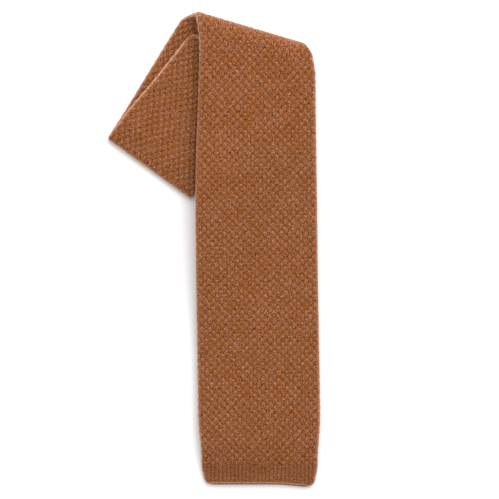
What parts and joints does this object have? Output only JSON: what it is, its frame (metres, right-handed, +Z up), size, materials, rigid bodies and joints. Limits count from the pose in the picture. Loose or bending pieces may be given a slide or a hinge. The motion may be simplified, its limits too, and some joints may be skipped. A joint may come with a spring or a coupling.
{
  "type": "knit tie",
  "caption": "Flat-hemmed tie of tubular moss-stitch knitting, lying folded: a broad front blade over a folded-back neck band and tail.",
  "frame": {"origin": "middle of the folded tie's outline in plan, on the surface it lies on", "axes": "+Y along the front blade from its hem to the top fold, +Z up from the surface, +X to the right as the front blade is seen"},
  "size_m": [0.1128, 0.2524, 0.0147],
  "materials": {
    "moss_knit": "heathered camel brown yarn in moss stitch, matte and slightly fuzzy",
    "hem_knit": "the same yarn in a finer upright rib, matte"
  },
  "bodies": {
    "root": {"front_hem": "hem_knit", "front_blade": "moss_knit", "neck_band": "moss_knit", "tail_blade": "moss_knit", "tail_hem": "hem_knit"}
  },
  "joints": []
}
